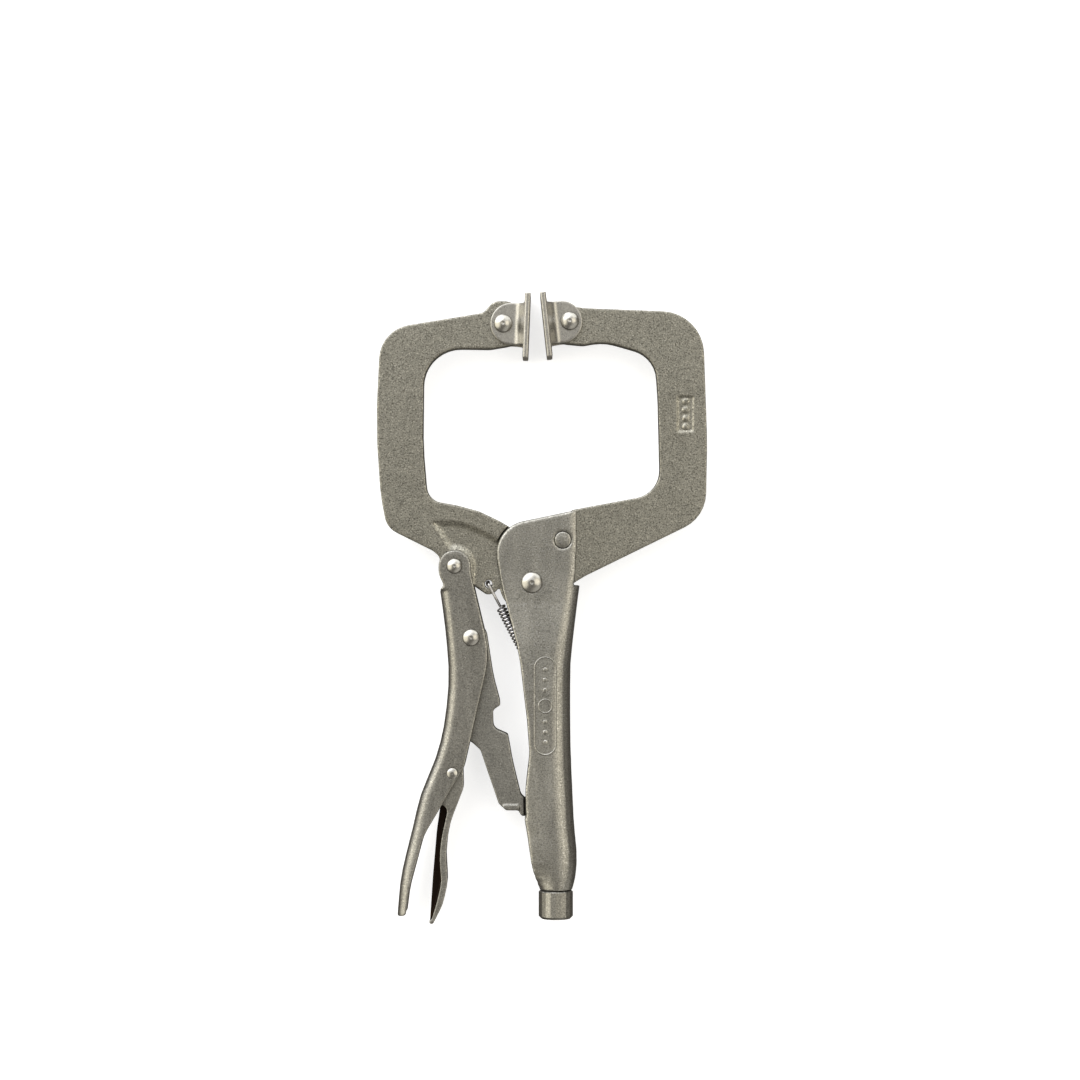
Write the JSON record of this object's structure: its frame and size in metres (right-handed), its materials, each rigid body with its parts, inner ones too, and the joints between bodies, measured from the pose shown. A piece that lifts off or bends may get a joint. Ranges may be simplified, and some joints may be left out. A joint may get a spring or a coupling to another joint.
{
  "type": "locking c-clamp",
  "caption": "Locking C-clamp with curved forged jaws, swivel pads, a toggle lever with release trigger, a return spring and an end adjusting screw.",
  "frame": {"origin": "centre of the outline's bounding box, on the plane the clamp lies on", "axes": "+Y along the clamp towards the pads, +X towards the fixed jaw, +Z out of the side that faces the viewer"},
  "size_m": [0.1461, 0.2792, 0.025],
  "materials": {
    "plated_steel": "satin nickel plate over a fine cast grain",
    "bright_steel": "bright zinc plate",
    "spring_steel": "bright drawn wire"
  },
  "bodies": {
    "handle": {"fixed_handle": "plated_steel", "fixed_jaw": "plated_steel", "fixed_jaw_rivet": "plated_steel", "jaw_pivot_rivet": "bright_steel", "fixed_pad_rivet": "bright_steel", "return_spring": "spring_steel"},
    "jaw": {"movable_jaw": "plated_steel", "movable_pad_rivet": "bright_steel"},
    "lever": {"lever_handle": "plated_steel", "lever_pivot_rivet": "bright_steel", "link_pivot_rivet": "bright_steel", "release_pivot_rivet": "bright_steel"},
    "link": {"toggle_link": "plated_steel"},
    "release": {"release_lever": "plated_steel"},
    "movable_pad": {"movable_pad": "bright_steel"},
    "fixed_pad": {"fixed_pad": "bright_steel"},
    "screw": {"adjusting_screw": "bright_steel"},
    "knob": {"screw_knob": "plated_steel"}
  },
  "joints": [
    {"name": "jaw_pivot", "type": "hinge", "parent": "handle", "child": "jaw", "pos_m": [-0.00445, 0.01155, 0.0125], "axis": [0, 0, 1], "range_deg": [0, 36], "deforming": ["return_spring"]},
    {"name": "lever_pivot", "type": "hinge", "parent": "jaw", "child": "lever", "pos_m": [-0.03865, 0.01885, 0.0125], "axis": [0, 0, 1], "range_deg": [-83, 0]},
    {"name": "link_pivot", "type": "hinge", "parent": "lever", "child": "link", "pos_m": [-0.03125, -0.01275, 0.0125], "axis": [0, 0, 1], "range_deg": [0, 68.5]},
    {"name": "release_pivot", "type": "hinge", "parent": "lever", "child": "release", "pos_m": [-0.03955, -0.07275, 0.0125], "axis": [0, 0, -1], "range_deg": [0, 8]},
    {"name": "movable_pad_swivel", "type": "hinge", "parent": "jaw", "child": "movable_pad", "pos_m": [-0.01715, 0.12595, 0.0125], "axis": [0, 0, 1], "range_deg": [-15, 15]},
    {"name": "fixed_pad_swivel", "type": "hinge", "parent": "handle", "child": "fixed_pad", "pos_m": [0.01225, 0.12705, 0.0125], "axis": [0, 0, 1], "range_deg": [-15, 15]},
    {"name": "screw_travel", "type": "slide", "parent": "handle", "child": "screw", "axis": [0, -1, 0], "range_m": [0, 0.01984]},
    {"name": "knob_turn", "type": "hinge", "parent": "screw", "child": "knob", "pos_m": [0.00615, -0.1252, 0.0125], "axis": [0, -1, 0], "range_deg": [0, 4500]}
  ],
  "couplings": [
    {"joint": "lever_pivot", "follows": "jaw_pivot", "ratio": -2.3},
    {"joint": "link_pivot", "follows": "jaw_pivot", "ratio": 1.9},
    {"joint": "knob_turn", "follows": "screw_travel", "rad_per_m": 3957.9}
  ]
}
